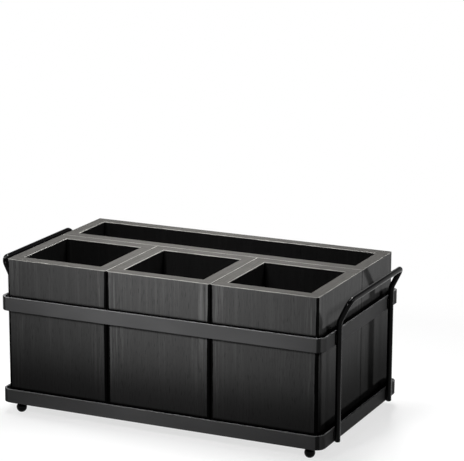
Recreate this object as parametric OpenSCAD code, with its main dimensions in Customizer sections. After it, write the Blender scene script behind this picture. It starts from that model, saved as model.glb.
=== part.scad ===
// Flatware caddy: three flatware bins and one long plate box, made of stained boards.
// They stand side by side in a frame of two flat metal bands with base rails, bent wire
// handles and ball feet. Millimetres. Origin on the table under the middle of the caddy,
// +Z up, front towards -Y, left towards -X.

/* [Wooden boxes] */
// Length of the plate box, and of the row of three bins in front of it
row_l = 300; // [240:1:420]
// Depth of a flatware bin, front to back
bin_d = 99.5; // [70:0.5:140]
// Depth of the plate box, front to back
plate_box_d = 73; // [50:0.5:120]
// Height of the boxes, from their lower edges to their rims
box_h = 131; // [115:1:180]
// Thickness of the upright boards
board_t = 11.5; // [8:0.5:16]
// Thickness of the tongue that runs round a floor board
tongue_t = 4; // [2:0.5:6]
// Height of the raised middle of a floor board above its tongue
floor_raise = 2; // [0.5:0.5:4]
// Depth of the grooves that hold the tongues
groove_depth = 4; // [2:0.5:5]
// Height of those grooves above the lower edges of the boards
groove_up = 3; // [2:0.5:6]
// Slack of a floor board in its grooves, and between its raised middle and the walls
floor_slack = 0.2; // [0.1:0.05:0.5]
// Gap between neighbouring bins
bin_gap = 0.6; // [0.3:0.1:2]
// Gap between the bins and the plate box behind them
row_gap = 0.4; // [0.3:0.1:2]
// Radius of the rounded upright corners at the front and at the rear of the caddy
corner_r = 1.6; // [0.5:0.1:4]
// Radius of the tighter corners where the bins meet the plate box
meeting_corner_r = 0.4; // [0.2:0.1:2]
// Width of the small chamfers along the rims
rim_chamfer = 0.6; // [0.2:0.1:1.5]

/* [Metal bands] */
// Thickness of the strip that the bands and the base rails are made of
strip_t = 2; // [1:0.1:3]
// Width of that strip, which is the height of a band
strip_w = 12.5; // [10:0.5:18]
// Radius along the edges of the strip
strip_edge_r = 0.4; // [0.1:0.05:0.45]
// Gap between a band and the boxes, at the front and at the rear
band_front_gap = 2.5; // [1:0.5:8]
// Gap between a band and the boxes, at the two ends
band_end_gap = 4.5; // [1.5:0.5:10]
// Outer radius of a band's corners
band_corner_r = 9; // [5:0.5:12]
// Distance from the lower band to the upper band, lower edge to lower edge
band_spacing = 86; // [60:1:92]

/* [Base rails] */
// Distance of the front and rear rails from the inner face of the lower band
rail_inset = 2.2; // [0.5:0.1:8]

/* [Wire handles] */
// Diameter of the wire
wire_d = 5; // [3:0.1:8]
// Distance of a handle's legs from the front and rear faces of the bands
leg_inset = 29.5; // [20:0.5:40]
// Height of the straight legs above the upper band
leg_above_band = 4.5; // [1:0.5:10]
// Angle by which the loop of a handle leans outwards
loop_lean = 26; // [5:1:35]
// Radius of the bend where the loop starts to lean, at the middle of the wire
lean_bend_r = 13.5; // [6:0.5:20]
// Length of the leaning loop, from that bend up to the middle of the grip bar
loop_rise = 18.5; // [16:0.5:40]
// Radius of the loop's two upper corners, at the middle of the wire
loop_corner_r = 6; // [5:0.5:15]
// Chamfer on the cut ends of the wire
wire_end_chamfer = 0.5; // [0.2:0.1:1]

/* [Ball feet] */
// Diameter of a ball foot
ball_d = 9.5; // [7:0.5:14]
// Height of the short neck between a ball and its rail
neck_h = 1.3; // [0.3:0.1:3]
// Diameter of that neck
neck_d = 5; // [3:0.5:6]
// Distance of the feet from the end faces of the bands
foot_inset = 15; // [12:0.5:30]

/* [Hidden] */
$fn = 64;
// Small overlap that keeps cutting solids clear of the faces they cut
cut = 1;
// Faces round the wire, and steps in its leaning bend and in the upper corners of its loop
wire_sides = 24;
bend_steps = 5;
corner_steps = 8;

BINS = ["left_bin", "centre_bin", "right_bin"];
PIECES = ["front_board", "rear_board", "left_board", "right_board", "floor_board"];
FRAME = ["lower_band", "upper_band", "front_base_rail", "middle_base_rail", "rear_base_rail",
         "left_handle", "right_handle"];
FEET = ["front_left_foot", "front_right_foot", "rear_left_foot", "rear_right_foot"];

metal = "#242426";
gloss = "#121214";
wood = "#3b3a38";

// Levels, from the table up
rail_z = ball_d + neck_h;
box_z = rail_z + strip_t;
upper_band_z = rail_z + band_spacing;
lean_z = upper_band_z + strip_w + leg_above_band;

// Plan of the boxes
row_d = bin_d + row_gap + plate_box_d;
bin_w = (row_l - (len(BINS) - 1) * bin_gap) / len(BINS);
front_y = -row_d / 2;
plate_box_y = front_y + bin_d + row_gap;

// Plan of the bands, over their outer faces and their inner faces, and of the base rails' middles
band_l = row_l + 2 * (band_end_gap + strip_t);
band_d = row_d + 2 * (band_front_gap + strip_t);
inside_l = band_l - 2 * strip_t;
inside_d = band_d - 2 * strip_t;
inside_r = band_corner_r - strip_t;
outer_rail_y = inside_d / 2 - rail_inset - strip_w / 2;
middle_rail_y = plate_box_y - row_gap / 2;
leg_x = band_l / 2 + wire_d / 2;
leg_y = band_d / 2 - leg_inset;
foot_x = band_l / 2 - foot_inset;

// Plan outline of a box, with its own radius for the front and for the rear corners
module box_outline(w, d, front_r, rear_r) {
    translate([0, front_r]) square([w, d - front_r - rear_r]);
    translate([front_r, 0]) square([w - 2 * front_r, d / 2]);
    translate([rear_r, d / 2]) square([w - 2 * rear_r, d / 2]);
    for (x = [front_r, w - front_r]) translate([x, front_r]) circle(front_r);
    for (x = [rear_r, w - rear_r]) translate([x, d - rear_r]) circle(rear_r);
}

// Profile that stays one width up to a chamfer's depth below z = 0 and then steps in or out
module rim_profile(span, step, depth, below, above) {
    polygon([[0, -below], [span, -below], [span, -depth], [span + step, 0], [span + step, above],
             [-step, above], [-step, 0], [0, -depth]]);
}

// Block whose four sides all follow that profile, with z = 0 at the rim
module rim_block(w, d, step, depth, below, above) {
    intersection() {
        translate([0, d + cut, 0]) rotate([90, 0, 0])
            linear_extrude(d + 2 * cut) rim_profile(w, step, depth, below, above);
        translate([-cut, 0, 0]) rotate([90, 0, 90])
            linear_extrude(w + 2 * cut) rim_profile(d, step, depth, below, above);
    }
}

// The four walls of a box as one sanded shape: rounded corners, chamfered rims, floor groove
module walls(w, d, front_r, rear_r) {
    inner_w = w - 2 * board_t;
    inner_d = d - 2 * board_t;
    difference() {
        intersection() {
            linear_extrude(box_h) box_outline(w, d, front_r, rear_r);
            translate([0, 0, box_h]) rim_block(w, d, -rim_chamfer, rim_chamfer, box_h, 0);
        }
        translate([board_t, board_t, box_h])
            rim_block(inner_w, inner_d, rim_chamfer, rim_chamfer, box_h + cut, cut);
        translate([board_t - groove_depth, board_t - groove_depth, groove_up])
            cube([inner_w + 2 * groove_depth, inner_d + 2 * groove_depth, tongue_t + floor_slack]);
    }
}

// Block that the glue lines cut one upright board out of
module board_block(piece, w, d) {
    inner_d = d - 2 * board_t;
    if (piece == "front_board") cube([w, board_t, box_h]);
    if (piece == "rear_board") translate([0, d - board_t, 0]) cube([w, board_t, box_h]);
    if (piece == "left_board") translate([0, board_t, 0]) cube([board_t, inner_d, box_h]);
    if (piece == "right_board") translate([w - board_t, board_t, 0]) cube([board_t, inner_d, box_h]);
}

// Slab that keeps this distance from all four outer faces of a box and starts at the groove
module floor_slab(w, d, distance, height) {
    translate([distance, distance, groove_up])
        cube([w - 2 * distance, d - 2 * distance, height]);
}

// Floor board: its tongue lies loose in the grooves, its raised middle fills the space between walls
module floor_board(w, d) {
    floor_slab(w, d, board_t - groove_depth + floor_slack, tongue_t);
    floor_slab(w, d, board_t + floor_slack, tongue_t + floor_raise);
}

// One board of one box
module box_piece(piece, w, d, front_r, rear_r) {
    color(wood)
        if (piece == "floor_board") floor_board(w, d);
        else intersection() {
            walls(w, d, front_r, rear_r);
            board_block(piece, w, d);
        }
}

// One board of the bin with this number, counted from the left
module bin_piece(number, piece) {
    translate([number * (bin_w + bin_gap) - row_l / 2, front_y, box_z])
        box_piece(piece, bin_w, bin_d, corner_r, meeting_corner_r);
}

// One board of the plate box
module plate_box_piece(piece) {
    translate([-row_l / 2, plate_box_y, box_z])
        box_piece(piece, row_l, plate_box_d, meeting_corner_r, corner_r);
}

// Section of the strip, standing on edge beside the Y axis, with rounded edges
module strip_section() {
    r = strip_edge_r;
    translate([r, 0]) square([strip_t - 2 * r, strip_w]);
    translate([0, r]) square([strip_t, strip_w - 2 * r]);
    for (x = [r, strip_t - r]) for (y = [r, strip_w - r]) translate([x, y]) circle(r);
}

// Straight length of strip on edge along +Y, its inner face towards the Y axis
module strip_run(length) {
    translate([0, length, 0]) rotate([90, 0, 0]) linear_extrude(length) strip_section();
}

// A band: four straight runs joined by four bent corners
module band() {
    flat_l = band_l - 2 * band_corner_r;
    flat_d = band_d - 2 * band_corner_r;
    color(metal)
        for (turn = [0, 180]) rotate([0, 0, turn]) {
            translate([band_l / 2 - strip_t, -flat_d / 2, 0]) strip_run(flat_d);
            translate([flat_l / 2, band_d / 2 - strip_t, 0]) rotate([0, 0, 90]) strip_run(flat_l);
            for (corner = [[1, 0], [-1, 90]])
                translate([corner[0] * flat_l / 2, flat_d / 2, 0]) rotate([0, 0, corner[1]])
                    rotate_extrude(angle = 90) translate([band_corner_r - strip_t, 0]) strip_section();
        }
}

// A base rail: the strip laid flat along the caddy, its ends cut to fit the inside of the lower band
module base_rail(y) {
    color(metal) intersection() {
        translate([-inside_l / 2, y - strip_w / 2, rail_z + strip_t]) rotate([0, 90, 0])
            linear_extrude(inside_l) strip_section();
        translate([-inside_l / 2, -inside_d / 2, rail_z - cut])
            linear_extrude(strip_t + 2 * cut) box_outline(inside_l, inside_d, inside_r, inside_r);
    }
}

// Direction of the wire, and the outward direction square to it, where it leans by this angle
function lean_dir(angle) = [sin(angle), 0, cos(angle)];
function lean_normal(angle) = [cos(angle), 0, -sin(angle)];

// Middle of the wire in the bend above a front leg, and in the upper corner of the loop after it
function bend_at(angle) = [leg_x + lean_bend_r, -leg_y, lean_z] - lean_bend_r * lean_normal(angle);
function corner_at(angle) = bend_at(loop_lean)
    + (loop_rise - loop_corner_r * (1 - sin(angle))) * lean_dir(loop_lean)
    + [0, loop_corner_r * (1 - cos(angle)), 0];

// Stations along the front half of a handle: the middle of the wire, its direction, the
// outward direction and the radius, from the chamfered end of the leg to the grip bar
front_stations = [
    [[leg_x, -leg_y, rail_z], [0, 0, 1], [1, 0, 0], wire_d / 2 - wire_end_chamfer],
    [[leg_x, -leg_y, rail_z + wire_end_chamfer], [0, 0, 1], [1, 0, 0], wire_d / 2],
    for (i = [0 : bend_steps]) let (angle = loop_lean * i / bend_steps)
        [bend_at(angle), lean_dir(angle), lean_normal(angle), wire_d / 2],
    for (i = [0 : corner_steps]) let (angle = 90 * i / corner_steps)
        [corner_at(angle), cos(angle) * lean_dir(loop_lean) + [0, sin(angle), 0],
         lean_normal(loop_lean), wire_d / 2],
];

// The same station on the rear half, where the wire comes back down
function rear_station(s) = [[s[0].x, -s[0].y, s[0].z], [-s[1].x, s[1].y, -s[1].z], s[2], s[3]];
wire_stations = concat(front_stations,
    [for (i = [len(front_stations) - 1 : -1 : 0]) rear_station(front_stations[i])]);

// Ring of points round the wire at a station
function ring(s) = [for (k = [0 : wire_sides - 1]) let (a = 360 * k / wire_sides)
    s[0] + s[3] * (cos(a) * s[2] + sin(a) * cross(s[1], s[2]))];

// A handle: one wire from the end of one leg over the grip bar to the end of the other
module handle(side) {
    n = wire_sides;
    last = len(wire_stations) - 1;
    points = [for (s = wire_stations) each ring(s)];
    sides = [for (i = [0 : last - 1]) for (k = [0 : n - 1])
        let (a = i * n + k, b = i * n + (k + 1) % n)
        each [[a, a + n, b], [b, a + n, b + n]]];
    ends = [[for (k = [0 : n - 1]) k], [for (k = [n - 1 : -1 : 0]) last * n + k]];
    color(gloss) mirror([side < 0 ? 1 : 0, 0, 0]) polyhedron(points, concat(sides, ends));
}

// A ball foot with the short neck that joins it to the underside of a rail
module ball_foot(x, y) {
    color(gloss) translate([x, y, 0])
        rotate_extrude() {
            translate([0, ball_d / 2]) intersection() {
                circle(d = ball_d);
                translate([0, -ball_d / 2]) square([ball_d / 2, ball_d]);
            }
            translate([0, ball_d / 2]) square([neck_d / 2, ball_d / 2 + neck_h]);
        }
}

module lower_band() translate([0, 0, rail_z]) band();
module upper_band() translate([0, 0, upper_band_z]) band();
module front_base_rail() base_rail(-outer_rail_y);
module middle_base_rail() base_rail(middle_rail_y);
module rear_base_rail() base_rail(outer_rail_y);
module left_handle() handle(-1);
module right_handle() handle(1);
module front_left_foot() ball_foot(-foot_x, -outer_rail_y);
module front_right_foot() ball_foot(foot_x, -outer_rail_y);
module rear_left_foot() ball_foot(-foot_x, outer_rail_y);
module rear_right_foot() ball_foot(foot_x, outer_rail_y);

lower_band();
upper_band();
front_base_rail();
middle_base_rail();
rear_base_rail();
left_handle();
right_handle();
front_left_foot();
front_right_foot();
rear_left_foot();
rear_right_foot();
for (i = [0 : len(BINS) - 1]) for (p = PIECES)
    bin_piece(i, p);
for (p = PIECES)
    plate_box_piece(p);
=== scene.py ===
"""Dresses the flatware caddy: stained boards, coated metal bands, bent wire handles and ball feet."""

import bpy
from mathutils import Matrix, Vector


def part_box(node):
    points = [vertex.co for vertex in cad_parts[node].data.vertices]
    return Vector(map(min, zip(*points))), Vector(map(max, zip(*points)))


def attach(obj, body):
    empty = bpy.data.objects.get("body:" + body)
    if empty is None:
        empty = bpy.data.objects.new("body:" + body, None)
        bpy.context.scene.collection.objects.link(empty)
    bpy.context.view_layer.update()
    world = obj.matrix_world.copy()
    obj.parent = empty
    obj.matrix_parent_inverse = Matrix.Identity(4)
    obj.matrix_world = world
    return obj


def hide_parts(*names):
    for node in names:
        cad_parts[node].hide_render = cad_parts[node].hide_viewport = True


bl_info = {
    "name": "Flatware Caddy",
    "version": (1, 0, 0),
    "blender": (4, 5, 0),
    "location": "3D View > Sidebar > Caddy",
    "description": "Stained boards, coated bands, wire handles and ball feet of a flatware caddy",
    "category": "Object",
}

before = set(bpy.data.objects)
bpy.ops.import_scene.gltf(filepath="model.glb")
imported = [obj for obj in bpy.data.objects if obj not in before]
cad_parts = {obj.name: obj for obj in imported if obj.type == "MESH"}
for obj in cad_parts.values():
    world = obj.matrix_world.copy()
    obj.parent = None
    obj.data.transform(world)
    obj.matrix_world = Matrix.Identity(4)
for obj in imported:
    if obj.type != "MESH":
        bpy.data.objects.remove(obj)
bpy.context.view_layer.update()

import math

import bmesh
import bpy
from bpy.props import FloatProperty, FloatVectorProperty, IntProperty, PointerProperty
from mathutils import Matrix, Vector

MM = 0.001

BINS = ("left_bin", "centre_bin", "right_bin")
UPRIGHT_BOARDS = ("front_board", "rear_board", "left_board", "right_board")
BANDS = ("lower_band", "upper_band")
RAILS = ("front_base_rail", "middle_base_rail", "rear_base_rail")
FEET = ("front_left_foot", "front_right_foot", "rear_left_foot", "rear_right_foot")

UP = Vector((0, 0, 1))
OUT = Vector((1, 0, 0))

RIM_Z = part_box("plate_box_rear_board")[1].z
BOX_FOOT_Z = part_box("plate_box_rear_board")[0].z
BOARD_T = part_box("left_bin_left_board")[1].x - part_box("left_bin_left_board")[0].x
INSIDE_SPARE = 0.3 * MM

# How light or dark each box is, and where its growth rings start
BOX_TONES = {"left_bin": 0.82, "centre_bin": 1.03, "right_bin": 0.97, "plate_box": 1.0}
BOX_SEEDS = {"left_bin": 0.0, "centre_bin": 1.0, "right_bin": 2.0, "plate_box": 7.0}

# Height of the normal on a level face, on a rounded upper edge, and at most on an upright face
LEVEL_FACE = (0.90, 0.97)
ROUNDED_EDGE = (0.15, 0.4)
UPRIGHT_FACE = 0.2

# Cells a metre of the noises, by what they vary, and the levels between which a slow tone changes
RUBBED_CELLS = 60.0
CORNER_CELLS = 90.0
GLOSS_CELLS = 45.0
DRIFT_CELLS = (12.0, 12.0, 30.0)
RIM_PORE_CELLS = (2600.0, 2600.0, 0.0)
TONE_LEVELS = (0.3, 0.7)

# How strongly the marks of the wood show, and how dark those on the rims are
MID_BOARD_LINES = 0.22
# The grain lines also fade towards the foot, as part of the painted shade there
FOOT_LINES = 0.3
STAIN_PATCHES = 0.45
BOARD_PORES = 0.35
RIM_RINGS = 0.4
RIM_PORES = 0.55
RIM_JOINTS = 0.7
RIM_MARK_TONE = 0.45

# Bumps of the grain, and how much the roughness of the wood varies with it
GRAIN_DEPTH = 0.03 * MM
GRAIN_BUMP = 0.6
WOOD_ROUGHNESS_SPREAD = (-0.03, 0.06)

# Painted shade in the crevices between pieces, from ambient occlusion
CREVICE_REACH = 8 * MM
CREVICE_LEVELS = (0.62, 0.76)
CREVICE_SAMPLES = 16

# The coatings: their darkest tone, the bumps' strength and how much their roughness varies
COATING_DARKEST = 0.82
COATING_BUMP = 0.5
COATING_ROUGHNESS_SPREAD = (-0.05, 0.06)
COATING_ROUGHNESS_LEVELS = (0.25, 0.75)

# Normals of the coated steel: up on its edges, where a painted highlight lightens them, and aslant on
# the rounded corners of the bands, where painted shade darkens them
UPPER_EDGE_HIGHLIGHT = (0.3, 0.8)
CORNER_START = (0.25, 0.4)
CORNER_END = (0.6, 0.75)

# Places of the weld beads, in their own radii, and how closely they fit between wire and band
BEAD_OUTSIDE_BAND = 0.8
BEAD_INTO_BAND = 0.5
BEAD_ABOVE_RAIL = 0.25
BEAD_CLOSENESS = 0.88

# Shape of the weld beads: their thin tips, rounded ends, ripples, rings and sides
BEAD_TIP = 0.3
BEAD_ROUNDING = 8
RIPPLE_DEPTH = 0.1
RIPPLE_RINGS = 4
BEAD_RINGS_AT_LEAST = 8
BEAD_SIDES = 12

# Half the floor's width, its drop under the feet, and the heights where the white backdrop fades out
FLOOR_REACH = 9.0
FLOOR_DROP = 0.05 * MM
BACKDROP_LEVELS = (0.2, 0.45)

# Width of the camera's sensor in the millimetres that its lens is given in
SENSOR_WIDTH = 36.0


# Settings


class WoodSettings(bpy.types.PropertyGroup):
    """Stain, grain and wear of the wooden boards"""

    stain: FloatVectorProperty(
        name="Stain", description="Colour of the stained wood between the grain lines",
        subtype="COLOR", size=3, min=0.0, max=1.0, default=(0.0425, 0.0425, 0.0425))
    grain: FloatVectorProperty(
        name="Grain", description="Colour of the brushed grain lines, where less stain sits",
        subtype="COLOR", size=3, min=0.0, max=1.0, default=(0.125, 0.124, 0.123))
    # This dark colour is the pores' own colour and the dark joint between boxes, and painted shade along
    # the rounded corners and in the crevices
    corner: FloatVectorProperty(
        name="Corners", description="Colour of the rounded upright corners, where stain gathers",
        subtype="COLOR", size=3, min=0.0, max=1.0, default=(0.0015, 0.0015, 0.0015))
    rim: FloatVectorProperty(
        name="Rims", description="Colour of the sanded end grain along the rims",
        subtype="COLOR", size=3, min=0.0, max=1.0, default=(0.047, 0.0455, 0.043))
    arris: FloatVectorProperty(
        name="Rim edges", description="Colour of the rims' edges, where the stain has rubbed thin",
        subtype="COLOR", size=3, min=0.0, max=1.0, default=(0.16, 0.157, 0.148))
    # Painted shade: the inside of the boxes is darkened to stand in for the shade that falls there
    inside: FloatProperty(
        name="Inside", description="How bright the stain is inside the boxes, beside the outside",
        subtype="FACTOR", min=0.0, max=1.0, default=0.09)
    corner_width: FloatProperty(
        name="Corner width", description="Width of the dark line along each upright corner",
        subtype="DISTANCE", unit="LENGTH", min=0.0, max=0.01, default=1.9 * MM)
    meeting_width: FloatProperty(
        name="Meeting width", description="Width of the dark line where the bins meet the plate box",
        subtype="DISTANCE", unit="LENGTH", min=0.0, max=0.01, default=0.1 * MM)
    edge_reach: FloatProperty(
        name="Brushed edge", description="How far from its corners a board shows strong grain lines",
        subtype="DISTANCE", unit="LENGTH", min=0.001, max=0.1, default=24 * MM)
    # Painted shade: the foot shade darkens the stain towards the foot of each board, up to the shade
    # height, standing in for the shade that falls low on the boards
    foot_shade: FloatProperty(
        name="Foot shade", description="How bright the stain is at the foot of a board, beside its top",
        subtype="FACTOR", min=0.0, max=1.0, default=0.28)
    shade_height: FloatProperty(
        name="Shade height", description="Height above its foot at which a board has its full colour",
        subtype="DISTANCE", unit="LENGTH", min=0.001, max=0.5, default=85 * MM)
    roughness: FloatProperty(
        name="Roughness", description="Roughness of the stained wood",
        subtype="FACTOR", min=0.0, max=1.0, default=0.5)
    lacquer_roughness: FloatProperty(
        name="Lacquer roughness", description="Roughness of the thin lacquer over the stain",
        subtype="FACTOR", min=0.0, max=1.0, default=0.1)
    lacquer_ior: FloatProperty(
        name="Lacquer index", description="Refractive index of the thin lacquer",
        min=1.0, max=2.0, default=1.5)
    lacquer_at_foot: FloatProperty(
        name="Lacquer at foot", description="How much lacquer shows at the foot of a board",
        subtype="FACTOR", min=0.0, max=1.0, default=0.07)
    lacquer_at_rim: FloatProperty(
        name="Lacquer at rim", description="How much lacquer shows just under the rims",
        subtype="FACTOR", min=0.0, max=1.0, default=0.33)
    lacquer_start: FloatProperty(
        name="Lacquer start", description="Height above its foot from which a board shows more lacquer",
        subtype="DISTANCE", unit="LENGTH", min=0.0, max=0.1, default=20 * MM)
    lacquer_loss: FloatProperty(
        name="Lacquer loss", description="Share of the lacquer that the rims, corners and insides lack",
        subtype="FACTOR", min=0.0, max=1.0, default=0.9)
    grain_width: FloatProperty(
        name="Grain width", description="Typical distance between two grain lines",
        subtype="DISTANCE", unit="LENGTH", min=0.0002, max=0.01, default=2.1 * MM)
    grain_length: FloatProperty(
        name="Grain length", description="Typical length of a grain line",
        subtype="DISTANCE", unit="LENGTH", min=0.005, max=0.5, default=55 * MM)
    ring_width: FloatProperty(
        name="Ring width", description="Typical distance between two growth rings on the rims",
        subtype="DISTANCE", unit="LENGTH", min=0.0002, max=0.01, default=1.3 * MM)
    ring_length: FloatProperty(
        name="Ring length", description="Typical length of a growth ring along the rims",
        subtype="DISTANCE", unit="LENGTH", min=0.002, max=0.5, default=26 * MM)


class MetalSettings(bpy.types.PropertyGroup):
    """Coating of the bands, rails, wire and feet"""

    band: FloatVectorProperty(
        name="Band coating", description="Colour of the satin coating on the bands and rails",
        subtype="COLOR", size=3, min=0.0, max=1.0, default=(0.078, 0.078, 0.079))
    band_roughness: FloatProperty(
        name="Band roughness", description="Roughness of the satin coating",
        subtype="FACTOR", min=0.0, max=1.0, default=0.42)
    band_gloss: FloatProperty(
        name="Band gloss", description="Strength of the reflections in the satin coating",
        subtype="FACTOR", min=0.0, max=1.0, default=0.015)
    band_speckle: FloatProperty(
        name="Band bumps", description="Size of the fine bumps in the satin coating",
        subtype="DISTANCE", unit="LENGTH", min=0.0001, max=0.005, default=0.45 * MM)
    band_texture: FloatProperty(
        name="Band texture", description="Height of the fine bumps in the satin coating",
        subtype="DISTANCE", unit="LENGTH", min=0.0, max=0.001, default=0.05 * MM)
    # Painted highlight: the bands' upper edges and level faces are lightened as if light caught them
    band_edge_highlight_gain: FloatProperty(
        name="Band edges", description="How much lighter the bands' upper edges are than their faces",
        min=0.0, max=10.0, default=2.0)
    # Painted shade: the bands' rounded corners are darkened as if in shade
    band_corner_shade_gain: FloatProperty(
        name="Band corners", description="How light the bands' rounded corners are, beside their faces",
        min=0.0, max=10.0, default=0.22)
    wire: FloatVectorProperty(
        name="Wire coating", description="Colour of the gloss coating on the wire and the feet",
        subtype="COLOR", size=3, min=0.0, max=1.0, default=(0.0012, 0.0012, 0.0013))
    wire_roughness: FloatProperty(
        name="Wire roughness", description="Roughness of the gloss coating",
        subtype="FACTOR", min=0.0, max=1.0, default=0.08)
    wire_gloss: FloatProperty(
        name="Wire gloss", description="Strength of the reflections in the gloss coating",
        subtype="FACTOR", min=0.0, max=1.0, default=0.05)
    wire_speckle: FloatProperty(
        name="Wire bumps", description="Size of the broad bumps in the gloss coating",
        subtype="DISTANCE", unit="LENGTH", min=0.0001, max=0.005, default=1.35 * MM)
    wire_texture: FloatProperty(
        name="Wire texture", description="Height of the broad bumps in the gloss coating",
        subtype="DISTANCE", unit="LENGTH", min=0.0, max=0.001, default=0.01 * MM)
    weld_r: FloatProperty(
        name="Weld radius", description="Radius of the small weld beads",
        subtype="DISTANCE", unit="LENGTH", min=0.0002, max=0.003, default=0.8 * MM)
    weld_step: FloatProperty(
        name="Weld ripple", description="Distance between two ripples of a weld bead",
        subtype="DISTANCE", unit="LENGTH", min=0.0002, max=0.01, default=1.1 * MM)
    weld_margin: FloatProperty(
        name="Weld margin", description="Distance from each end of a bead to the edge of its strip",
        subtype="DISTANCE", unit="LENGTH", min=0.0, max=0.005, default=1.8 * MM)


class WireSettings(bpy.types.PropertyGroup):
    """Bends of the wire handles, as the frame has them"""

    wire_d: FloatProperty(
        name="Wire diameter", description="Diameter of the wire",
        subtype="DISTANCE", unit="LENGTH", min=0.001, max=0.02, default=5 * MM)
    leg_above_band: FloatProperty(
        name="Legs above band", description="Height of the straight legs above the upper band",
        subtype="DISTANCE", unit="LENGTH", min=0.0, max=0.05, default=4.5 * MM)
    lean: FloatProperty(
        name="Lean", description="Angle by which the loop of a handle leans outwards",
        subtype="ANGLE", unit="ROTATION", min=0.0, max=1.5, default=math.radians(26))
    lean_bend_r: FloatProperty(
        name="Lean bend", description="Radius of the bend where the loop starts to lean",
        subtype="DISTANCE", unit="LENGTH", min=0.002, max=0.1, default=13.5 * MM)
    loop_rise: FloatProperty(
        name="Loop rise", description="Length of the leaning loop up to the middle of the grip bar",
        subtype="DISTANCE", unit="LENGTH", min=0.005, max=0.2, default=18.5 * MM)
    loop_corner_r: FloatProperty(
        name="Loop corners", description="Radius of the two upper corners of a loop",
        subtype="DISTANCE", unit="LENGTH", min=0.002, max=0.05, default=6 * MM)
    end_chamfer: FloatProperty(
        name="End chamfer", description="Chamfer on the cut ends of the wire",
        subtype="DISTANCE", unit="LENGTH", min=0.0, max=0.002, default=0.5 * MM)
    sides: IntProperty(
        name="Sides", description="Faces round the wire", min=8, max=128, default=48)
    bend_steps: IntProperty(
        name="Bend steps", description="Rings along each bend", min=2, max=64, default=16)


class StageSettings(bpy.types.PropertyGroup):
    """Camera, floor and studio lights"""

    target: FloatVectorProperty(
        name="Target", description="Point that the camera looks at",
        subtype="TRANSLATION", unit="LENGTH", size=3, default=(30.5 * MM, 0.0, 169.6 * MM))
    distance: FloatProperty(
        name="Distance", description="Distance from the camera to its target",
        subtype="DISTANCE", unit="LENGTH", min=0.1, max=20.0, default=1.8646)
    azimuth: FloatProperty(
        name="Azimuth", description="Angle of the camera from the front, towards the right",
        subtype="ANGLE", unit="ROTATION", default=math.radians(24.87))
    elevation: FloatProperty(
        name="Elevation", description="Angle of the camera above the horizon",
        subtype="ANGLE", unit="ROTATION", default=math.radians(13.747))
    roll: FloatProperty(
        name="Roll", description="Angle of the camera about its own line of sight",
        subtype="ANGLE", unit="ROTATION", default=math.radians(0.2))
    lens: FloatProperty(
        name="Lens", description="Focal length on a sensor 36 mm wide",
        min=20.0, max=400.0, default=162.92)
    floor: FloatVectorProperty(
        name="Floor", description="Colour of the pale floor",
        subtype="COLOR", size=3, min=0.0, max=1.0, default=(0.93, 0.93, 0.93))
    floor_bounce: FloatProperty(
        name="Floor bounce", description="Share of its light that the floor throws back at the caddy",
        subtype="FACTOR", min=0.0, max=1.0, default=0.12)
    floor_glow: FloatProperty(
        name="Floor glow", description="Share of plain white in the floor, which thins the shadow",
        subtype="FACTOR", min=0.0, max=1.0, default=0.7)
    room_light: FloatProperty(
        name="Room light", description="Strength of the even light from all round",
        min=0.0, max=2.0, default=0.11)
    white_start: FloatProperty(
        name="White from", description="Distance at which the floor starts to turn plain white",
        subtype="DISTANCE", unit="LENGTH", min=0.0, max=5.0, default=0.32)
    white_end: FloatProperty(
        name="White to", description="Distance from which the floor is plain white",
        subtype="DISTANCE", unit="LENGTH", min=0.01, max=9.0, default=0.62)


class CaddySettings(bpy.types.PropertyGroup):
    """All settings of the flatware caddy"""

    wood: PointerProperty(type=WoodSettings)
    metal: PointerProperty(type=MetalSettings)
    wire: PointerProperty(type=WireSettings)
    stage: PointerProperty(type=StageSettings)


# Node building

NODE_STEP = 180


def evenly(value):
    """The same number for all three axes"""
    return (value, value, value)


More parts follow.
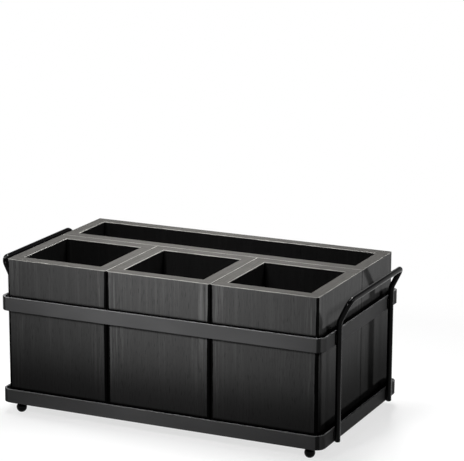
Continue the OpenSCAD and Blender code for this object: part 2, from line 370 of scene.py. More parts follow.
class NodeBuilder:
    """Adds nodes to a tree and links them, from left to right"""

    def __init__(self, tree):
        self.tree = tree
        self.step = 0

    def add(self, kind, **values):
        """A new node with these values"""
        node = self.tree.nodes.new(kind)
        node.location = (NODE_STEP * self.step, 0)
        self.step += 1
        for name, value in values.items():
            setattr(node, name, value)
        return node

    def feed(self, socket, value):
        """Links another socket into this one, or sets its value"""
        if isinstance(value, bpy.types.NodeSocket):
            self.tree.links.new(value, socket)
        else:
            socket.default_value = value

    def math(self, operation, *values):
        """Result of this operation on numbers"""
        node = self.add("ShaderNodeMath", operation=operation)
        for socket, value in zip(node.inputs, values):
            self.feed(socket, value)
        return node.outputs[0]

    def vector_math(self, operation, *values):
        """Result of this operation on vectors"""
        node = self.add("ShaderNodeVectorMath", operation=operation)
        for socket, value in zip(node.inputs, values):
            self.feed(socket, value)
        return node.outputs["Value" if operation == "LENGTH" else "Vector"]

    def ramp(self, value, low, high, to_low=0.0, to_high=1.0):
        """Eases from one result to the other while the value goes from low to high"""
        node = self.add("ShaderNodeMapRange", interpolation_type="SMOOTHSTEP")
        for name, part in (("Value", value), ("From Min", low), ("From Max", high),
                           ("To Min", to_low), ("To Max", to_high)):
            self.feed(node.inputs[name], part)
        return node.outputs["Result"]

    def fade(self, value, low, high):
        """A mask that is full up to low and gone from high"""
        return self.ramp(value, low, high, 1.0, 0.0)

    def ease(self, mask, without, within):
        """Goes from one value to the other with a mask"""
        return self.ramp(mask, 0.0, 1.0, without, within)

    def weigh(self, first, first_weight, second, second_weight):
        """Sum of two values, each times its weight"""
        return self.math("ADD", self.math("MULTIPLY", first, first_weight),
                         self.math("MULTIPLY", second, second_weight))

    def split(self, vector):
        """The X, Y and Z of a vector"""
        node = self.add("ShaderNodeSeparateXYZ")
        self.feed(node.inputs[0], vector)
        return node.outputs

    def combine(self, x, y, z):
        """A vector with this X, Y and Z"""
        node = self.add("ShaderNodeCombineXYZ")
        for socket, value in zip(node.inputs, (x, y, z)):
            self.feed(socket, value)
        return node.outputs[0]

    def noise(self, vector, cells, detail, roughness, distortion=0.0):
        """Noise with this many cells to a unit, given for each axis"""
        node = self.add("ShaderNodeTexNoise")
        self.feed(node.inputs["Vector"], self.vector_math("MULTIPLY", vector, cells))
        self.feed(node.inputs["Scale"], 1.0)
        self.feed(node.inputs["Detail"], detail)
        self.feed(node.inputs["Roughness"], roughness)
        self.feed(node.inputs["Distortion"], distortion)
        return node.outputs["Fac"]

    def blend(self, factor, first, second, mode="MIX"):
        """The first colour where the factor is 0, and the second laid over it where it is 1"""
        node = self.add("ShaderNodeMix", data_type="RGBA", blend_type=mode)
        self.feed(node.inputs["Factor"], factor)
        self.feed(node.inputs["A"], first)
        self.feed(node.inputs["B"], second)
        return node.outputs["Result"]

    def bump(self, height, distance, strength):
        """Normal of a surface with this height, times the distance"""
        node = self.add("ShaderNodeBump")
        self.feed(node.inputs["Strength"], strength)
        self.feed(node.inputs["Distance"], distance)
        self.feed(node.inputs["Height"], height)
        return node.outputs["Normal"]


def new_group(name, inputs, outputs):
    """A shader node group with these sockets, given as (name, kind, default)"""
    tree = bpy.data.node_groups.new(name, "ShaderNodeTree")
    for socket_name, kind, default in inputs:
        socket = tree.interface.new_socket(socket_name, in_out="INPUT", socket_type=kind)
        socket.default_value = default
    for socket_name, kind in outputs:
        tree.interface.new_socket(socket_name, in_out="OUTPUT", socket_type=kind)
    build = NodeBuilder(tree)
    start = build.add("NodeGroupInput")
    end = build.add("NodeGroupOutput")
    return build, start.outputs, end.inputs


def wood_grain_group():
    """Brushed grain along Z: line and pore masks, slow tone and height"""
    build, given, out = new_group(
        "Brushed Grain",
        [("Vector", "NodeSocketVector", (0.0, 0.0, 0.0)),
         ("Grain Width", "NodeSocketFloat", 1.6 * MM),
         ("Grain Length", "NodeSocketFloat", 55 * MM)],
        [("Lines", "NodeSocketFloat"), ("Pores", "NodeSocketFloat"),
         ("Tone", "NodeSocketFloat"), ("Height", "NodeSocketFloat")])
    per_width = build.math("DIVIDE", 1.0, given["Grain Width"])
    per_length = build.math("DIVIDE", 1.0, given["Grain Length"])
    line_levels, patch_levels, pore_levels = (0.48, 0.72), (0.35, 0.62), (0.60, 0.70)
    faintest_patch, pore_depth = 0.25, 0.25

    def layer(across, along, detail, roughness, distortion=0.0):
        """Noise with this many cells in the width and length of a grain line"""
        cells_across = build.math("MULTIPLY", per_width, across)
        cells_along = build.math("MULTIPLY", per_length, along)
        cells = build.combine(cells_across, cells_across, cells_along)
        return build.noise(given["Vector"], cells, detail, roughness, distortion)

    fine = layer(across=2.2, along=1.4, detail=3.0, roughness=0.6)
    middle = layer(across=0.8, along=0.6, detail=2.0, roughness=0.55, distortion=0.3)
    broad = layer(across=0.12, along=0.25, detail=2.0, roughness=0.5, distortion=0.6)
    patches = layer(across=0.22, along=0.5, detail=2.0, roughness=0.5, distortion=0.4)
    pores = build.ramp(layer(across=4.5, along=7.0, detail=1.0, roughness=0.5), *pore_levels)
    lines = build.ramp(build.weigh(fine, 0.5, middle, 0.6), *line_levels)
    patchy = build.ramp(patches, *patch_levels, faintest_patch, 1.0)
    build.feed(out["Lines"], build.math("MULTIPLY", lines, patchy))
    build.feed(out["Pores"], pores)
    build.feed(out["Tone"], broad)
    height = build.weigh(fine, 0.7, middle, 0.3)
    build.feed(out["Height"], build.math("SUBTRACT", height, build.math("MULTIPLY", pores, pore_depth)))
    return build.tree


def board_wear_group():
    """Masks of a box's rims, rim edges, upright corners, inside and joints"""
    build, given, out = new_group(
        "Board Wear",
        [("Place", "NodeSocketVector", (0.0, 0.0, 0.0)),
         ("Normal", "NodeSocketVector", (0.0, 0.0, 1.0)),
         ("Box Centre", "NodeSocketVector", (0.0, 0.0, 0.0)),
         ("Half Inside", "NodeSocketVector", (1.0, 1.0, 1.0)),
         ("Half Outside", "NodeSocketVector", (1.0, 1.0, 1.0)),
         ("Front Corner Width", "NodeSocketFloat", 1.2 * MM),
         ("Rear Corner Width", "NodeSocketFloat", 1.2 * MM),
         ("Edge Reach", "NodeSocketFloat", 24 * MM),
         ("Rim Height", "NodeSocketFloat", 0.1),
         ("Foot Height", "NodeSocketFloat", 0.0),
         ("Full Height", "NodeSocketFloat", 0.1)],
        [("Rim", "NodeSocketFloat"), ("Arris", "NodeSocketFloat"),
         ("Corner", "NodeSocketFloat"), ("Edge", "NodeSocketFloat"),
         ("Inside", "NodeSocketFloat"), ("Up", "NodeSocketFloat"),
         ("Lengthwise", "NodeSocketFloat"), ("Joint", "NodeSocketFloat")])
    place = given["Place"]
    height = build.split(place)["Z"]
    facing_up = build.split(given["Normal"])["Z"]

    # Rims, and the rubbed edges beside them
    rim_depth, rub_levels, least_rubbed = (0.8 * MM, 1.2 * MM), (0.3, 0.7), 0.6
    below_rim = build.math("SUBTRACT", given["Rim Height"], height)
    near_rim = build.fade(below_rim, *rim_depth)
    build.feed(out["Rim"], build.math("MULTIPLY", build.ramp(facing_up, *LEVEL_FACE), near_rim))
    tilted = build.math("MULTIPLY", build.ramp(facing_up, *ROUNDED_EDGE),
                        build.fade(facing_up, *LEVEL_FACE))
    rubbed = build.noise(place, evenly(RUBBED_CELLS), detail=3.0, roughness=0.6)
    rubbed = build.ramp(rubbed, *rub_levels, least_rubbed, 1.0)
    build.feed(out["Arris"], build.math("MULTIPLY", build.math("MULTIPLY", tilted, near_rim), rubbed))

    # Distances from the middle of the box, and from its upright corners
    away = build.vector_math("SUBTRACT", place, given["Box Centre"])
    behind = build.math("GREATER_THAN", build.split(away)["Y"], 0.0)
    aside, deep = build.split(build.vector_math("ABSOLUTE", away))[0:2]
    half_inside = build.split(given["Half Inside"])
    half_outside = build.split(given["Half Outside"])
    from_corner = build.math("MAXIMUM", build.math("SUBTRACT", half_outside["X"], aside),
                             build.math("SUBTRACT", half_outside["Y"], deep))

    # Upright corners: a dark line of uneven width, partly the dark joint between boxes and partly
    # painted shade, a little wider towards the foot as painted shade
    corner_softness = 0.35 * MM
    wave_levels, waves = (0.2, 0.8), (0.9, 1.1)
    spread_depth, spread = (5 * MM, 60 * MM), (0.9, 1.25)
    uneven = build.noise(place, evenly(CORNER_CELLS), detail=3.0, roughness=0.6)
    width = build.ease(behind, given["Front Corner Width"], given["Rear Corner Width"])
    width = build.math("MULTIPLY", width, build.ramp(uneven, *wave_levels, *waves))
    width = build.math("MULTIPLY", width, build.ramp(below_rim, *spread_depth, *spread))
    line = build.fade(from_corner, width, build.math("ADD", width, corner_softness))
    upright = build.math("LESS_THAN", build.math("ABSOLUTE", facing_up), UPRIGHT_FACE)
    build.feed(out["Corner"], build.math("MULTIPLY", line, upright))
    build.feed(out["Edge"], build.fade(from_corner, 0.0, given["Edge Reach"]))

    # Inside of the box, height on a board, and the joints between boards on the rims
    in_x = build.math("LESS_THAN", aside, half_inside["X"])
    in_y = build.math("LESS_THAN", deep, half_inside["Y"])
    build.feed(out["Inside"], build.math("MULTIPLY", in_x, in_y))
    build.feed(out["Up"], build.ramp(height, given["Foot Height"], given["Full Height"]))
    build.feed(out["Lengthwise"], build.math("GREATER_THAN", deep, half_inside["Y"]))
    joint_width = (0.12 * MM, 0.22 * MM)
    from_joint = build.math("ABSOLUTE", build.math("SUBTRACT", deep, half_inside["Y"]))
    beyond = build.math("GREATER_THAN", aside, half_inside["X"])
    build.feed(out["Joint"], build.math("MULTIPLY", build.fade(from_joint, *joint_width), beyond))
    return build.tree


def end_grain_group():
    """Growth rings on the rims, along the boards: ring and pore masks"""
    build, given, out = new_group(
        "End Grain",
        [("Place", "NodeSocketVector", (0.0, 0.0, 0.0)),
         ("Lengthwise", "NodeSocketFloat", 0.0),
         ("Ring Width", "NodeSocketFloat", 1.3 * MM),
         ("Ring Length", "NodeSocketFloat", 26 * MM),
         ("Seed", "NodeSocketFloat", 0.0)],
        [("Rings", "NodeSocketFloat"), ("Pores", "NodeSocketFloat")])
    x, y = build.split(given["Place"])[0:2]
    crosswise = build.math("SUBTRACT", 1.0, given["Lengthwise"])
    ring_levels, pore_levels = (0.38, 0.66), (0.60, 0.72)
    along = build.math("DIVIDE", build.weigh(x, given["Lengthwise"], y, crosswise), given["Ring Length"])
    over = build.math("DIVIDE", build.weigh(y, given["Lengthwise"], x, crosswise), given["Ring Width"])
    rings = build.noise(build.combine(along, over, given["Seed"]), evenly(1.0),
                        detail=2.0, roughness=0.55, distortion=0.5)
    build.feed(out["Rings"], build.ramp(rings, *ring_levels))
    pores = build.noise(given["Place"], RIM_PORE_CELLS, detail=1.0, roughness=0.5)
    build.feed(out["Pores"], build.ramp(pores, *pore_levels))
    return build.tree


def coating_group():
    """Fine texture of a powder coating: height, and slow changes of gloss and tone"""
    build, given, out = new_group(
        "Powder Coating",
        [("Vector", "NodeSocketVector", (0.0, 0.0, 0.0)),
         ("Texture Size", "NodeSocketFloat", 0.5 * MM)],
        [("Height", "NodeSocketFloat"), ("Gloss", "NodeSocketFloat"), ("Tone", "NodeSocketFloat")])
    cells = build.math("DIVIDE", 1.0, given["Texture Size"])
    fine = build.noise(given["Vector"], build.combine(cells, cells, cells), detail=2.0, roughness=0.6)
    slow = build.noise(given["Vector"], evenly(GLOSS_CELLS), detail=3.0, roughness=0.6)
    drift = build.noise(given["Vector"], DRIFT_CELLS, detail=2.0, roughness=0.5)
    build.feed(out["Height"], fine)
    build.feed(out["Gloss"], slow)
    build.feed(out["Tone"], drift)
    return build.tree


# Materials


def empty_nodes(data):
    """Clears the nodes of a material or a world, and gives a builder for new ones"""
    data.use_nodes = True
    data.node_tree.nodes.clear()
    return NodeBuilder(data.node_tree)


def new_material(name):
    """A new material with a plain shader, its builder and the shader's sockets"""
    material = bpy.data.materials.new(name)
    build = empty_nodes(material)
    shader = build.add("ShaderNodeBsdfPrincipled")
    output = build.add("ShaderNodeOutputMaterial")
    build.feed(output.inputs["Surface"], shader.outputs["BSDF"])
    return material, build, shader.inputs


def place_group(build, tree, **values):
    """Places a node group, with a value for each named input"""
    node = build.add("ShaderNodeGroup")
    node.node_tree = tree
    for name, value in values.items():
        build.feed(node.inputs[name.replace("_", " ").title()], value)
    return node.outputs


def opaque(colour, tone=1.0):
    """The colour times a tone, with a fourth number for the sockets"""
    return (tone * colour[0], tone * colour[1], tone * colour[2], 1.0)


def shared_groups():
    """The four node groups, built once"""
    makers = {"grain": ("Brushed Grain", wood_grain_group), "wear": ("Board Wear", board_wear_group),
              "end": ("End Grain", end_grain_group), "coating": ("Powder Coating", coating_group)}
    return {key: bpy.data.node_groups.get(name) or make() for key, (name, make) in makers.items()}


def board_colour(build, wood, tone, grain, wear):
    """Stain with lighter grain lines and dark corner lines, with painted shade towards the foot and
    inside the boxes
    """
    stain, dark = opaque(wood.stain), opaque(wood.corner)
    lines = build.math("MULTIPLY", grain["Lines"], build.ease(wear["Edge"], MID_BOARD_LINES, 1.0))
    lines = build.math("MULTIPLY", lines, build.ease(wear["Up"], FOOT_LINES, 1.0))
    colour = build.blend(lines, stain, opaque(wood.grain))
    patches = build.ramp(grain["Tone"], *TONE_LEVELS, 0.0, STAIN_PATCHES)
    colour = build.blend(patches, colour, stain)
    colour = build.blend(build.math("MULTIPLY", grain["Pores"], BOARD_PORES), colour, dark)
    # Painted shade: darker towards the foot of each board
    shade = build.ease(wear["Up"], wood.foot_shade * tone, tone)
    # Painted shade: far darker inside the boxes
    shade = build.blend(wear["Inside"], shade, build.math("MULTIPLY", shade, wood.inside))
    colour = build.blend(1.0, colour, shade, "MULTIPLY")
    # Dark corner lines: partly joints, partly painted shade
    return build.blend(wear["Corner"], colour, dark)


def rim_colour(build, wood, wear, end):
    """Sanded end grain with its rings and pores, and the joints between boards"""
    marks = build.math("MULTIPLY", end["Rings"], RIM_RINGS)
    marks = build.math("MAXIMUM", marks, build.math("MULTIPLY", end["Pores"], RIM_PORES))
    marks = build.math("MAXIMUM", marks, build.math("MULTIPLY", wear["Joint"], RIM_JOINTS))
    return build.blend(marks, opaque(wood.rim), opaque(wood.rim, RIM_MARK_TONE))


def painted_crevice_shade(build):
    """A mask of painted shade that is dark in the crevices between pieces"""
    crevice = build.add("ShaderNodeAmbientOcclusion", samples=CREVICE_SAMPLES)
    crevice.inputs["Distance"].default_value = CREVICE_REACH
    return build.ramp(crevice.outputs["AO"], *CREVICE_LEVELS)


def lacquer_weight(build, wood, wear, height):
    """Thin lacquer, fuller towards the rims and nearly gone on the rims, corners and insides"""
    weight = build.ramp(height, BOX_FOOT_Z + wood.lacquer_start, RIM_Z,
                        wood.lacquer_at_foot, wood.lacquer_at_rim)
    bare = build.math("MAXIMUM", build.math("MAXIMUM", wear["Corner"], wear["Inside"]), wear["Rim"])
    kept = build.math("SUBTRACT", 1.0, build.math("MULTIPLY", bare, wood.lacquer_loss))
    return build.math("MULTIPLY", weight, kept)


def box_of(names):
    """Lowest and highest corner of several nodes together"""
    corners = [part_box(name) for name in names]
    low = Vector([min(c[0][i] for c in corners) for i in range(3)])
    high = Vector([max(c[1][i] for c in corners) for i in range(3)])
    return low, high


def place_grain(build, wood, place, grain_along):
    """Grain of a board that runs upright, or along the caddy"""
    turned = build.add("ShaderNodeMapping")
    build.feed(turned.inputs["Vector"], place)
    if grain_along == "X":
        turned.inputs["Rotation"].default_value = (0.0, math.radians(90), 0.0)
    return place_group(build, shared_groups()["grain"], vector=turned.outputs[0],
                       grain_width=wood.grain_width, grain_length=wood.grain_length)


def place_wear(build, wood, box, place, normal):
    """Wear of one box, with thinner corner lines where the bins meet the plate box"""
    low, high = box_of([f"{box}_{board}" for board in UPRIGHT_BOARDS])
    half = (high - low) / 2
    wall = BOARD_T - INSIDE_SPARE
    front_width, rear_width = wood.corner_width, wood.meeting_width
    if box not in BINS:
        front_width, rear_width = rear_width, front_width
    return place_group(build, shared_groups()["wear"], place=place, normal=normal,
                       box_centre=(low + high) / 2, half_inside=half - Vector((wall, wall, 0)),
                       half_outside=half, front_corner_width=front_width,
                       rear_corner_width=rear_width, edge_reach=wood.edge_reach,
                       rim_height=RIM_Z, foot_height=BOX_FOOT_Z,
                       full_height=BOX_FOOT_Z + wood.shade_height)


def stained_wood(name, wood, box, grain_along="Z"):
    """Stained wood for the boards of one box, with its grain upright or along the caddy"""
    material, build, shader = new_material(name)
    coordinates = build.add("ShaderNodeTexCoord").outputs
    place = coordinates["Object"]
    grain = place_grain(build, wood, place, grain_along)
    wear = place_wear(build, wood, box, place, coordinates["Normal"])
    end = place_group(build, shared_groups()["end"], place=place, lengthwise=wear["Lengthwise"],
                      ring_width=wood.ring_width, ring_length=wood.ring_length, seed=BOX_SEEDS[box])
    colour = board_colour(build, wood, BOX_TONES[box], grain, wear)
    colour = build.blend(wear["Rim"], colour, rim_colour(build, wood, wear, end))
    colour = build.blend(wear["Arris"], colour, opaque(wood.arris))
    # Painted shade: the crevices found by ambient occlusion are darkened
    colour = build.blend(painted_crevice_shade(build), opaque(wood.corner), colour)
    build.feed(shader["Base Color"], colour)
    smoothest, roughest = [wood.roughness + part for part in WOOD_ROUGHNESS_SPREAD]
    build.feed(shader["Roughness"], build.ease(grain["Lines"], smoothest, roughest))
    shader["Specular IOR Level"].default_value = 0.0
    build.feed(shader["Coat Weight"], lacquer_weight(build, wood, wear, build.split(place)["Z"]))
    shader["Coat Roughness"].default_value = wood.lacquer_roughness
    shader["Coat IOR"].default_value = wood.lacquer_ior
    build.feed(shader["Normal"], build.bump(grain["Height"], GRAIN_DEPTH, GRAIN_BUMP))
    return material


def coated_metal(name, colour, roughness, gloss, speckle, texture, edge_highlight_gain=1.0, corner_shade_gain=1.0):
    """Powder-coated steel, satin or gloss, with its own tone, a painted highlight on upward faces and
    painted shade on rounded corners
    """
    material, build, shader = new_material(name)
    coordinates = build.add("ShaderNodeTexCoord").outputs
    coating = place_group(build, shared_groups()["coating"], vector=coordinates["Object"],
                          texture_size=speckle)
    normal = build.split(coordinates["Normal"])
    patches = build.ramp(coating["Tone"], *TONE_LEVELS)
    tinted = build.blend(patches, opaque(colour), opaque(colour, COATING_DARKEST))
    # Painted highlight on the faces that look up
    tinted = build.blend(build.ramp(normal["Z"], *UPPER_EDGE_HIGHLIGHT), tinted, opaque(colour, edge_highlight_gain))
    # Painted shade on the bands' rounded corners
    aside = build.math("ABSOLUTE", normal["X"])
    corner = build.math("MULTIPLY", build.ramp(aside, *CORNER_START), build.fade(aside, *CORNER_END))
    tinted = build.blend(corner, tinted, opaque(colour, corner_shade_gain))
    build.feed(shader["Base Color"], tinted)
    smoothest, roughest = [roughness + part for part in COATING_ROUGHNESS_SPREAD]
    varied = build.ramp(coating["Gloss"], *COATING_ROUGHNESS_LEVELS, smoothest, roughest)
    build.feed(shader["Roughness"], varied)
    build.feed(shader["Normal"], build.bump(coating["Height"], texture, COATING_BUMP))
    shader["Specular IOR Level"].default_value = gloss
    return material


def band_material(metal):
    """Satin coating of the bands and rails, made once"""
    return bpy.data.materials.get("Satin Band Coating") or coated_metal(
        "Satin Band Coating", metal.band, roughness=metal.band_roughness, gloss=metal.band_gloss,
        speckle=metal.band_speckle, texture=metal.band_texture,
        edge_highlight_gain=metal.band_edge_highlight_gain, corner_shade_gain=metal.band_corner_shade_gain)


def wire_material(metal):
    """Gloss coating of the wire and the feet, made once"""
    return bpy.data.materials.get("Gloss Wire Coating") or coated_metal(
        "Gloss Wire Coating", metal.wire, roughness=metal.wire_roughness, gloss=metal.wire_gloss,
        speckle=metal.wire_speckle, texture=metal.wire_texture)


# Pieces


def finish_node(name, material):
    """Gives a CAD node its finish"""
    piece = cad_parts[name]
    piece.data.materials.clear()
    piece.data.materials.append(material)


def new_piece(name, data, body, material):
    """Puts a new piece on its body with its finish"""
    piece = bpy.data.objects.new(name, data)
    bpy.context.scene.collection.objects.link(piece)
    data.materials.append(material)
    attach(piece, body)
    return piece


def dress_box(box, wood):
    """Stains the upright boards and the floor board of one box"""
    words = box.replace("_", " ").title()
    upright = stained_wood(f"Stained Wood {words}", wood, box)
    lying = stained_wood(f"Stained Floor {words}", wood, box, grain_along="X")
    for board in UPRIGHT_BOARDS:
        finish_node(f"{box}_{board}", upright)
    finish_node(f"{box}_floor_board", lying)


def wire_stations(wire, leg_x, leg_y, foot_z, lean_z):
    """Middle, direction, outward direction and radius along a right-hand handle, end to end"""
    radius = wire.wire_d / 2

    def leaning(angle):
        """Direction and outward direction of the wire where it leans by this angle"""
        direction = Vector((math.sin(angle), 0, math.cos(angle)))
        outward = Vector((math.cos(angle), 0, -math.sin(angle)))
        return direction, outward

    def bend(angle):
        """Middle of the wire on the bend, where it leans by this angle"""
        centre = Vector((leg_x + wire.lean_bend_r, -leg_y, lean_z))
        return centre - wire.lean_bend_r * leaning(angle)[1]

    foot = Vector((leg_x, -leg_y, foot_z))
    stations = [(foot, UP, OUT, radius - wire.end_chamfer),
                (foot + wire.end_chamfer * UP, UP, OUT, radius)]
    for step in range(wire.bend_steps + 1):
        angle = wire.lean * step / wire.bend_steps
        stations.append((bend(angle), *leaning(angle), radius))
    slope, outward = leaning(wire.lean)
    for step in range(wire.bend_steps + 1):
        angle = math.pi / 2 * step / wire.bend_steps
        rise = wire.loop_rise - wire.loop_corner_r * (1 - math.sin(angle))
        sideways = wire.loop_corner_r * (1 - math.cos(angle))
        middle = bend(wire.lean) + rise * slope + Vector((0, sideways, 0))
        direction = math.cos(angle) * slope + Vector((0, math.sin(angle), 0))
        stations.append((middle, direction, outward, radius))
    rear = []
    for middle, direction, outward, radius in reversed(stations):
        rear.append((Vector((middle.x, -middle.y, middle.z)),
                     Vector((-direction.x, direction.y, -direction.z)), outward, radius))
    return stations + rear


def add_tube(mesh, stations, sides, mirrored=False):
    """Adds a closed tube through these stations"""
    rings = []
    for middle, direction, outward, radius in stations:
        across = direction.cross(outward)
        ring = []
        for k in range(sides):
            angle = 2 * math.pi * k / sides
            point = middle + radius * (math.cos(angle) * outward + math.sin(angle) * across)
            if mirrored:
                point.x = -point.x
            ring.append(mesh.verts.new(point))
        rings.append(ring)
    for first, second in zip(rings, rings[1:]):
        for k in range(sides):
            after = (k + 1) % sides
            face = mesh.faces.new((first[k], first[after], second[after], second[k]))
            face.smooth = True
    mesh.faces.new(reversed(rings[0]))
    mesh.faces.new(rings[-1])


def tube_mesh(name, tubes, sides, mirrored=False):
    """Mesh of closed tubes, each given by its stations"""
    mesh = bmesh.new()
    for stations in tubes:
        add_tube(mesh, stations, sides, mirrored)
    bmesh.ops.recalc_face_normals(mesh, faces=mesh.faces)
    data = bpy.data.meshes.new(name)
    mesh.to_mesh(data)
    mesh.free()
    return data


def leg_place(side, wire):
    """Distances of a handle's legs from the middle of the caddy, to the side and to the front"""
    low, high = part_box(f"{side}_handle")
    return min(abs(low.x), abs(high.x)) + wire.wire_d / 2, high.y - wire.wire_d / 2


def bead_stations(start, end, outward, metal):
    """Stations of a rippled weld bead with rounded ends"""
    direction = (end - start).normalized()
    length = (end - start).length
    steps = max(BEAD_RINGS_AT_LEAST, RIPPLE_RINGS * round(length / metal.weld_step))
    stations = []
    for step in range(steps + 1):
        share = step / steps
        rounded = max(BEAD_TIP, 1 - abs(2 * share - 1) ** BEAD_ROUNDING)
        ripple = 1 + RIPPLE_DEPTH * math.cos(2 * math.pi * step / RIPPLE_RINGS)
        radius = metal.weld_r * rounded * ripple
        stations.append((start + share * (end - start), direction, outward, radius))
    return stations


def handle_beads(side, metal, wire):
    """Four upright beads on each band, one on either side of both legs of a handle"""
    leg_y = leg_place(side, wire)[1]
    aside = BEAD_CLOSENESS * 2 * math.sqrt(metal.weld_r * wire.wire_d / 2)
    beads = []
    for band in BANDS:
        low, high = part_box(band)
        x = high.x + BEAD_OUTSIDE_BAND * metal.weld_r
        for y in (-leg_y - aside, -leg_y + aside, leg_y - aside, leg_y + aside):
            beads.append(bead_stations(Vector((x, y, low.z + metal.weld_margin)),
                                       Vector((x, y, high.z - metal.weld_margin)), OUT, metal))
    return beads


def rail_beads(metal):
    """One bead across each end of the base rails, where they meet the lower band"""
    beads = []
    for rail in RAILS:
        low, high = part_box(rail)
        z = high.z + BEAD_ABOVE_RAIL * metal.weld_r
        into_band = BEAD_INTO_BAND * metal.weld_r
        for x in (low.x + into_band, high.x - into_band):
            beads.append(bead_stations(Vector((x, low.y + metal.weld_margin, z)),
                                       Vector((x, high.y - metal.weld_margin, z)), UP, metal))
    return beads


class CADDY_OT_dress_bins(bpy.types.Operator):
    """Stain the boards of the three flatware bins"""

    bl_idname = "caddy.dress_bins"
    bl_label = "Dress Flatware Bins"

    def execute(self, context):
        for box in BINS:
            dress_box(box, context.scene.caddy.wood)
        return {"FINISHED"}


class CADDY_OT_dress_plate_box(bpy.types.Operator):
    """Stain the boards of the plate box"""

    bl_idname = "caddy.dress_plate_box"
    bl_label = "Dress Plate Box"

    def execute(self, context):
        dress_box("plate_box", context.scene.caddy.wood)
        return {"FINISHED"}


class CADDY_OT_dress_bands(bpy.types.Operator):
    """Coat the two bands and the base rails"""

    bl_idname = "caddy.dress_bands"
    bl_label = "Dress Bands and Rails"

    def execute(self, context):
        material = band_material(context.scene.caddy.metal)
        for name in BANDS + RAILS:
            finish_node(name, material)
        return {"FINISHED"}


class CADDY_OT_make_handles(bpy.types.Operator):
    """Make the two bent wire handles"""

    bl_idname = "caddy.make_handles"
    bl_label = "Make Wire Handles"

    def execute(self, context):
        wire = context.scene.caddy.wire
        material = wire_material(context.scene.caddy.metal)
        lean_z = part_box("upper_band")[1].z + wire.leg_above_band
        for side in ("left", "right"):
            leg_x, leg_y = leg_place(side, wire)
            stations = wire_stations(wire, leg_x, leg_y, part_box(f"{side}_handle")[0].z, lean_z)
            data = tube_mesh(f"{side}_wire_handle", [stations], wire.sides, side == "left")
            piece = new_piece(f"{side}_wire_handle", data, "frame", material)
            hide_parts(f"{side}_handle")
        return {"FINISHED"}


class CADDY_OT_make_welds(bpy.types.Operator):
    """Make the weld beads that hold the handles and the base rails to the bands"""

    bl_idname = "caddy.make_welds"
    bl_label = "Make Weld Beads"

    def execute(self, context):
        metal, wire = context.scene.caddy.metal, context.scene.caddy.wire
        for side in ("left", "right"):
            beads = handle_beads(side, metal, wire)
            data = tube_mesh(f"{side}_handle_welds", beads, BEAD_SIDES, side == "left")
            new_piece(f"{side}_handle_welds", data, "frame", wire_material(metal))
        data = tube_mesh("rail_welds", rail_beads(metal), BEAD_SIDES)
        new_piece("rail_welds", data, "frame", band_material(metal))
        return {"FINISHED"}


class CADDY_OT_dress_feet(bpy.types.Operator):
    """Coat the ball feet"""

    bl_idname = "caddy.dress_feet"
    bl_label = "Dress Ball Feet"

    def execute(self, context):
        material = wire_material(context.scene.caddy.metal)
        for name in FEET:
            finish_node(name, material)
        return {"FINISHED"}


# Stage


def seen_rays(build):
    """1 on the rays that show the background: from the camera, and in gloss and glass"""
    path = build.add("ShaderNodeLightPath")
    seen = build.math("MAXIMUM", path.outputs["Is Camera Ray"], path.outputs["Is Glossy Ray"])
    return build.math("MAXIMUM", seen, path.outputs["Is Transmission Ray"])


def floor_material(stage):
    """Pale floor, shaded near the caddy and plain white further off"""
    material = bpy.data.materials.new("Pale Floor")
    build = empty_nodes(material)
    seen = seen_rays(build)
    colour = build.blend(seen, opaque(evenly(stage.floor_bounce)), opaque(stage.floor))
    diffuse = build.add("ShaderNodeBsdfDiffuse")
    build.feed(diffuse.inputs["Color"], colour)
    white = build.add("ShaderNodeEmission")
    place = build.add("ShaderNodeTexCoord").outputs["Object"]
    away = build.vector_math("LENGTH", place)
    far = build.ramp(away, stage.white_start, stage.white_end, stage.floor_glow, 1.0)
    mix = build.add("ShaderNodeMixShader")
    build.feed(mix.inputs[0], build.math("MULTIPLY", far, seen))
    build.feed(mix.inputs[1], diffuse.outputs["BSDF"])
    build.feed(mix.inputs[2], white.outputs["Emission"])
    output = build.add("ShaderNodeOutputMaterial")
    build.feed(output.inputs["Surface"], mix.outputs[0])
    return material


def make_floor(stage):
    """A wide pale floor just under the feet"""
    data = bpy.data.meshes.new("pale_floor")
    low, high = -FLOOR_REACH, FLOOR_REACH
    corners = [(low, low, 0), (high, low, 0), (high, high, 0), (low, high, 0)]
    data.from_pydata(corners, [], [(0, 1, 2, 3)])
    floor = bpy.data.objects.new("pale_floor", data)
    floor.location.z = -FLOOR_DROP
    data.materials.append(floor_material(stage))
    bpy.context.scene.collection.objects.link(floor)


def make_world(stage):
    """Even light from all round, and a white backdrop behind the floor"""
    world = bpy.data.worlds.new("Studio")
    bpy.context.scene.world = world
    build = empty_nodes(world)
    background = build.add("ShaderNodeBackground")
    output = build.add("ShaderNodeOutputWorld")
    direction = build.add("ShaderNodeTexCoord").outputs["Generated"]
    backdrop = build.ramp(build.split(direction)["Z"], *BACKDROP_LEVELS, 1.0, stage.room_light)
    build.feed(background.inputs["Color"], opaque(evenly(1.0)))
    build.feed(background.inputs["Strength"], build.ease(seen_rays(build), stage.room_light, backdrop))
    build.feed(output.inputs["Surface"], background.outputs[0])


def make_softbox(name, place, aim, size, power, beam=180):
    """Rectangular light at a place, turned to a point, with a grid that narrows its beam"""
    data = bpy.data.lights.new(name, "AREA")
    data.shape = "RECTANGLE"
    data.size, data.size_y = size
    data.energy = power
    data.spread = math.radians(beam)
    light = bpy.data.objects.new(name, data)
    light.location = place
    light.rotation_euler = (Vector(place) - Vector(aim)).to_track_quat("Z", "Y").to_euler()
    light.visible_camera = False
    bpy.context.scene.collection.objects.link(light)


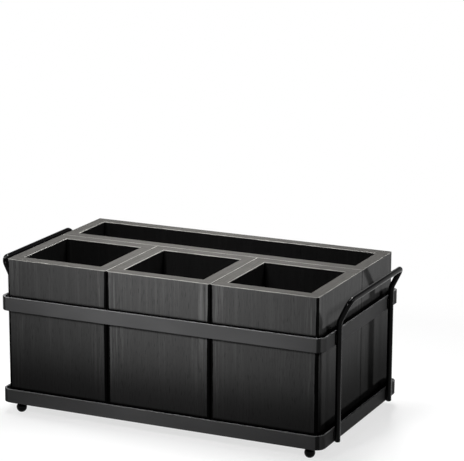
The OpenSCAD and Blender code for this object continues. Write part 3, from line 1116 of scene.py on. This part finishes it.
def make_camera(stage):
    """Camera at the settings' distance and angles from its target"""
    cos, sin = math.cos, math.sin
    azimuth, elevation = stage.azimuth, stage.elevation
    back = Vector((sin(azimuth) * cos(elevation), -cos(azimuth) * cos(elevation), sin(elevation)))
    right = Vector((cos(azimuth), sin(azimuth), 0.0))
    up = back.cross(right)
    turned_right = cos(stage.roll) * right + sin(stage.roll) * up
    turned_up = cos(stage.roll) * up - sin(stage.roll) * right
    data = bpy.data.cameras.new("camera")
    data.sensor_fit = "HORIZONTAL"
    data.sensor_width = SENSOR_WIDTH
    data.lens = stage.lens
    data.clip_start, data.clip_end = 0.01, 50.0
    camera = bpy.data.objects.new("camera", data)
    turn = Matrix((turned_right, turned_up, back)).transposed().to_4x4()
    camera.matrix_world = Matrix.Translation(Vector(stage.target) + stage.distance * back) @ turn
    bpy.context.scene.collection.objects.link(camera)
    bpy.context.scene.camera = camera


class CADDY_OT_make_stage(bpy.types.Operator):
    """Set up the pale floor, the studio lights and the camera"""

    bl_idname = "caddy.make_stage"
    bl_label = "Make Stage"

    def execute(self, context):
        stage = context.scene.caddy.stage
        make_floor(stage)
        make_world(stage)
        make_softbox("overhead_softbox", place=(-0.15, 0.10, 1.25), aim=(0, 0, 0),
                     size=(0.6, 0.45), power=16)
        make_softbox("front_softbox", place=(-0.01, -0.55, 0.42), aim=(0.0, -0.09, 0.22),
                     size=(0.2, 0.12), power=0.53, beam=51)
        make_softbox("right_softbox", place=(0.60, 0.12, 0.50), aim=(0.15, 0, 0.31),
                     size=(0.12, 0.2), power=0.38, beam=44)
        make_softbox("rear_softbox", place=(-0.05, 0.42, 0.62), aim=(-0.02, 0.09, 0.28),
                     size=(0.2, 0.12), power=0.8, beam=48)
        make_softbox("left_softbox", place=(-0.62, 0.02, 0.42), aim=(-0.15, 0.02, 0.24),
                     size=(0.12, 0.2), power=0.35, beam=48)
        make_camera(stage)
        context.scene.view_settings.view_transform = "Standard"
        return {"FINISHED"}


class CADDY_PT_panel(bpy.types.Panel):
    """Lists the steps that dress the caddy"""

    bl_label = "Flatware Caddy"
    bl_idname = "CADDY_PT_panel"
    bl_space_type = "VIEW_3D"
    bl_region_type = "UI"
    bl_category = "Caddy"

    def draw(self, context):
        for step in STEPS:
            self.layout.operator(step.bl_idname)


STEPS = (
    CADDY_OT_make_stage,
    CADDY_OT_dress_bands,
    CADDY_OT_make_handles,
    CADDY_OT_make_welds,
    CADDY_OT_dress_feet,
    CADDY_OT_dress_bins,
    CADDY_OT_dress_plate_box,
)
SETTINGS = (WoodSettings, MetalSettings, WireSettings, StageSettings, CaddySettings)
CLASSES = SETTINGS + STEPS + (CADDY_PT_panel,)


def register():
    """Adds the classes to Blender, and the settings to each scene"""
    for cls in CLASSES:
        bpy.utils.register_class(cls)
    bpy.types.Scene.caddy = PointerProperty(type=CaddySettings)


def unregister():
    """Takes the settings and the classes out again"""
    del bpy.types.Scene.caddy
    for cls in reversed(CLASSES):
        bpy.utils.unregister_class(cls)


def main():
    """Runs every step in order"""
    register()
    bpy.ops.caddy.make_stage()
    bpy.ops.caddy.dress_bands()
    bpy.ops.caddy.make_handles()
    bpy.ops.caddy.make_welds()
    bpy.ops.caddy.dress_feet()
    bpy.ops.caddy.dress_bins()
    bpy.ops.caddy.dress_plate_box()


if __name__ == "__main__":
    main()
